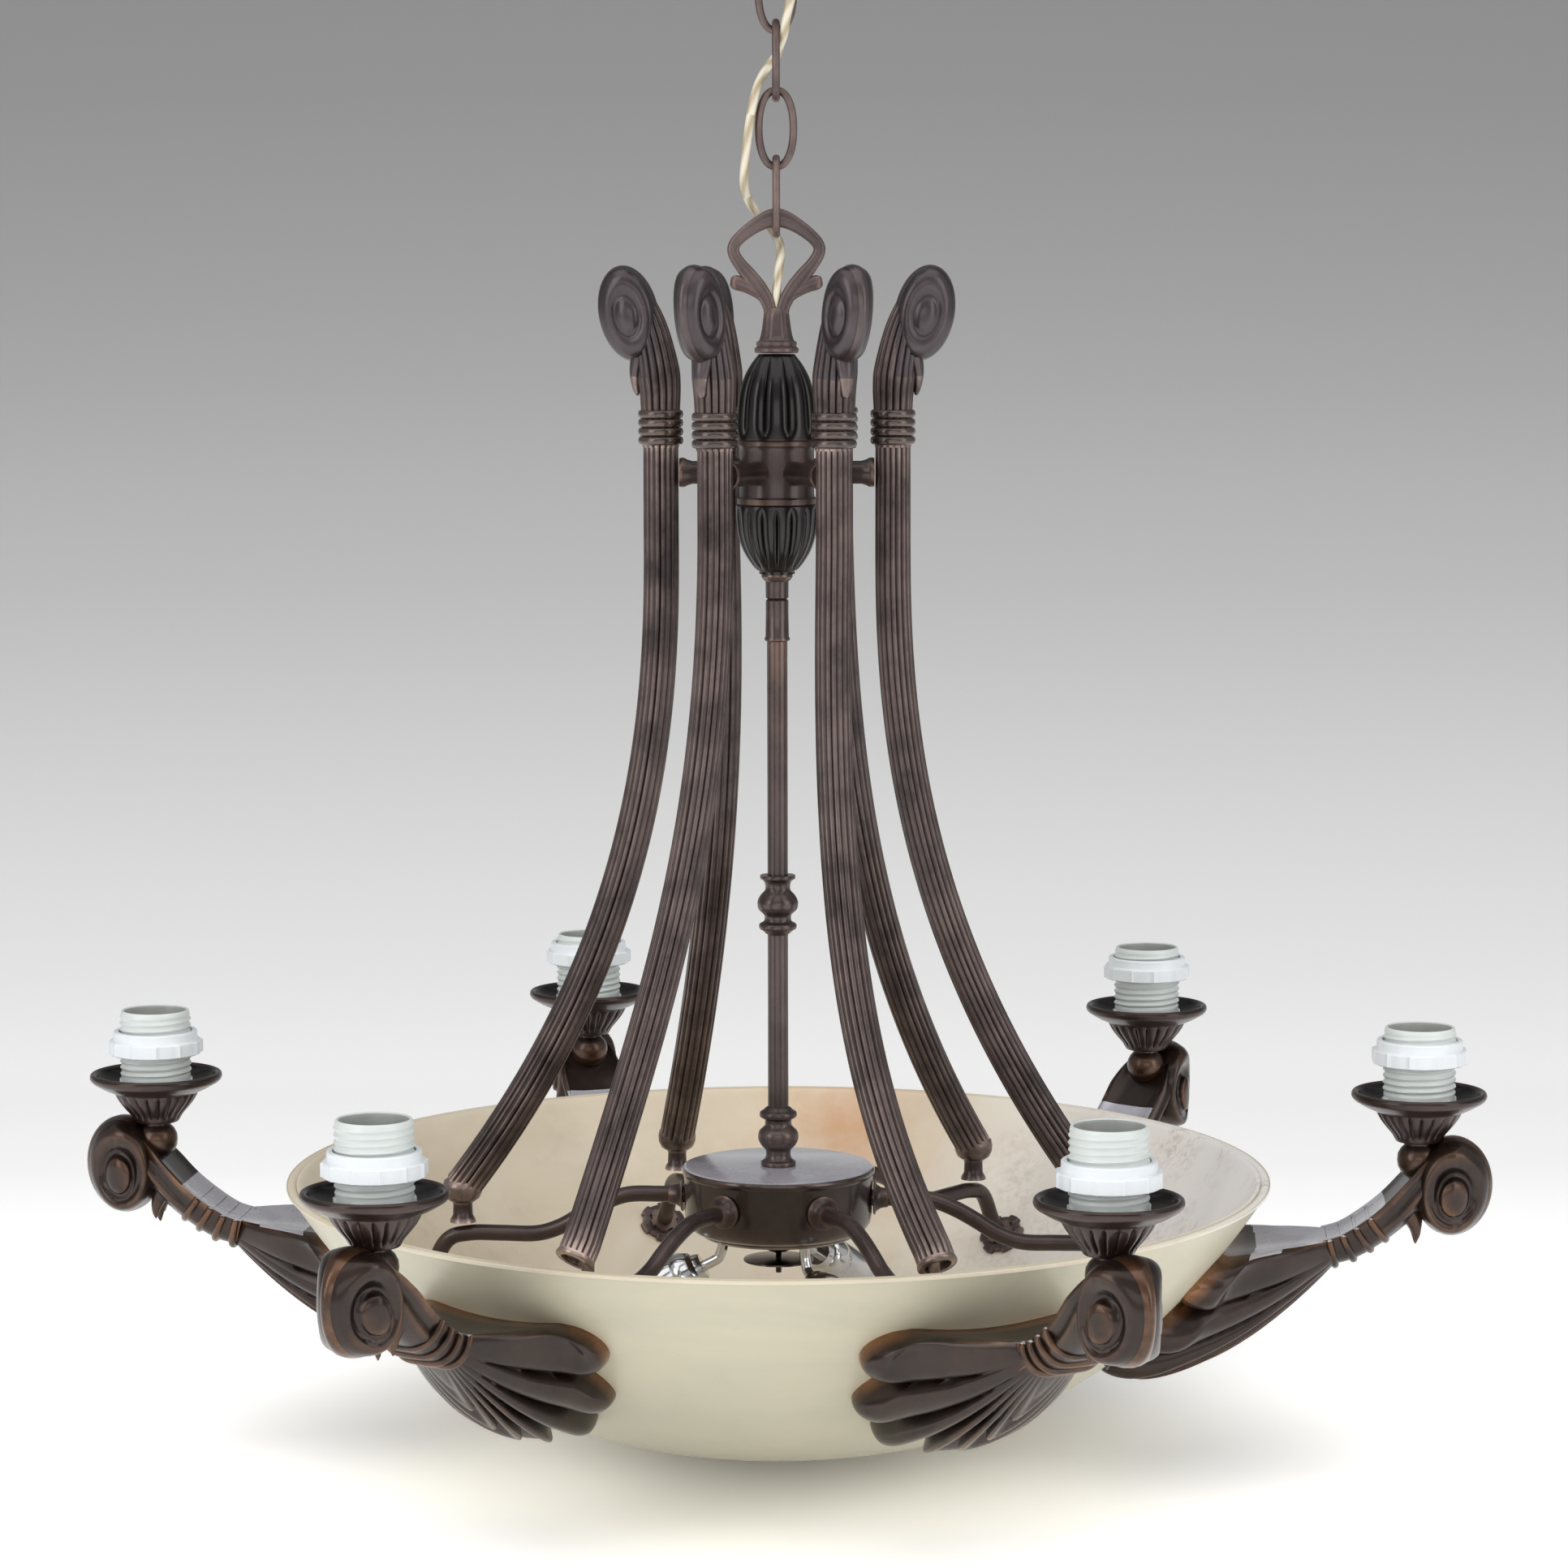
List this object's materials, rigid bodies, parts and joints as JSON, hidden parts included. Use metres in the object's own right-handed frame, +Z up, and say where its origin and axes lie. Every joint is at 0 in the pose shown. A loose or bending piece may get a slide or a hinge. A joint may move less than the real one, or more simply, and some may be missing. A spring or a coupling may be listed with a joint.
{
  "type": "bowl pendant light",
  "caption": "Hanging light with a carved stone bowl held between reeded stems and cast scroll arms with palmette shells, each arm with an upright lampholder on a drip pan, on a link chain",
  "frame": {"origin": "middle of the ceiling rose's flat top, against the ceiling", "axes": "+Z up, -Y towards the viewer of the picture, +X to the viewer's right"},
  "size_m": [0.7816, 0.7294, 0.8551],
  "materials": {
    "bronze": "dark oil-rubbed bronze with copper-coloured high spots",
    "dark_bronze": "near-black polished bronze",
    "alabaster": "polished cream alabaster with soft mottling",
    "white_plastic": "smooth off-white moulding",
    "chrome": "bright plated",
    "clear_flex": "clear sheath over pale gold strands"
  },
  "bodies": {
    "ceiling": {"ceiling_rose": "bronze", "rose_hook": "bronze", "flex_1": "clear_flex"},
    "link_a": {"link_a": "bronze", "flex_2": "clear_flex"},
    "link_b": {"link_b": "bronze", "flex_3": "clear_flex"},
    "link_c": {"link_c": "bronze", "flex_4": "clear_flex"},
    "link_d": {"link_d": "bronze", "flex_5": "clear_flex"},
    "fixture": {"top_loop": "bronze", "body_band": "bronze", "rod_coupling": "bronze", "centre_rod": "bronze", "hub_drum": "bronze", "hub_cover": "bronze", "upper_cup": "dark_bronze", "lower_cup": "dark_bronze", "hub_nut": "dark_bronze", "inner_lampholder_1": "chrome", "inner_lampholder_2": "chrome", "inner_lampholder_3": "chrome", "bowl": "alabaster", "arm_1": "bronze", "wiring_tube_1": "bronze", "drip_pan_1": "bronze", "stem_1": "bronze", "arm_2": "bronze", "wiring_tube_2": "bronze", "drip_pan_2": "bronze", "stem_2": "bronze", "arm_3": "bronze", "wiring_tube_3": "bronze", "drip_pan_3": "bronze", "stem_3": "bronze", "arm_4": "bronze", "wiring_tube_4": "bronze", "drip_pan_4": "bronze", "stem_4": "bronze", "arm_5": "bronze", "wiring_tube_5": "bronze", "drip_pan_5": "bronze", "stem_5": "bronze", "arm_6": "bronze", "wiring_tube_6": "bronze", "drip_pan_6": "bronze", "stem_6": "bronze", "lampholder_1": "white_plastic", "lampholder_2": "white_plastic", "lampholder_3": "white_plastic", "lampholder_4": "white_plastic", "lampholder_5": "white_plastic", "lampholder_6": "white_plastic"},
    "ring_1": {"shade_ring_1": "white_plastic"},
    "ring_2": {"shade_ring_2": "white_plastic"},
    "ring_3": {"shade_ring_3": "white_plastic"},
    "ring_4": {"shade_ring_4": "white_plastic"},
    "ring_5": {"shade_ring_5": "white_plastic"},
    "ring_6": {"shade_ring_6": "white_plastic"}
  },
  "joints": [
    {"name": "link_a_swing", "type": "hinge", "parent": "ceiling", "child": "link_a", "pos_m": [0, 0, -0.048], "axis": [0, 1, 0], "range_deg": [-21, 21], "deforming": ["flex_1"]},
    {"name": "link_b_swing", "type": "hinge", "parent": "link_a", "child": "link_b", "pos_m": [0, 0, -0.0841], "axis": [1, 0, 0], "range_deg": [-21, 21], "deforming": ["flex_2"]},
    {"name": "link_c_swing", "type": "hinge", "parent": "link_b", "child": "link_c", "pos_m": [0, 0, -0.1204], "axis": [0, 1, 0], "range_deg": [-21, 21], "deforming": ["flex_3"]},
    {"name": "link_d_swing", "type": "hinge", "parent": "link_c", "child": "link_d", "pos_m": [0, 0, -0.1567], "axis": [1, 0, 0], "range_deg": [-21, 21], "deforming": ["flex_4"]},
    {"name": "fixture_turn", "type": "hinge", "parent": "link_d", "child": "fixture", "pos_m": [0, 0, -0.193], "axis": [0, 0, 1], "range_deg": [-15, 15], "deforming": ["flex_5"]},
    {"name": "ring_1_travel", "type": "slide", "parent": "fixture", "child": "ring_1", "axis": [0, 0, 1], "range_m": [-0.0118, 0.031]},
    {"name": "ring_2_travel", "type": "slide", "parent": "fixture", "child": "ring_2", "axis": [0, 0, 1], "range_m": [-0.0218, 0.021]},
    {"name": "ring_3_travel", "type": "slide", "parent": "fixture", "child": "ring_3", "axis": [0, 0, 1], "range_m": [-0.0228, 0.02]},
    {"name": "ring_4_travel", "type": "slide", "parent": "fixture", "child": "ring_4", "axis": [0, 0, 1], "range_m": [-0.0238, 0.019]},
    {"name": "ring_5_travel", "type": "slide", "parent": "fixture", "child": "ring_5", "axis": [0, 0, 1], "range_m": [-0.0172, 0.0256]},
    {"name": "ring_6_travel", "type": "slide", "parent": "fixture", "child": "ring_6", "axis": [0, 0, 1], "range_m": [-0.0134, 0.0294]}
  ]
}
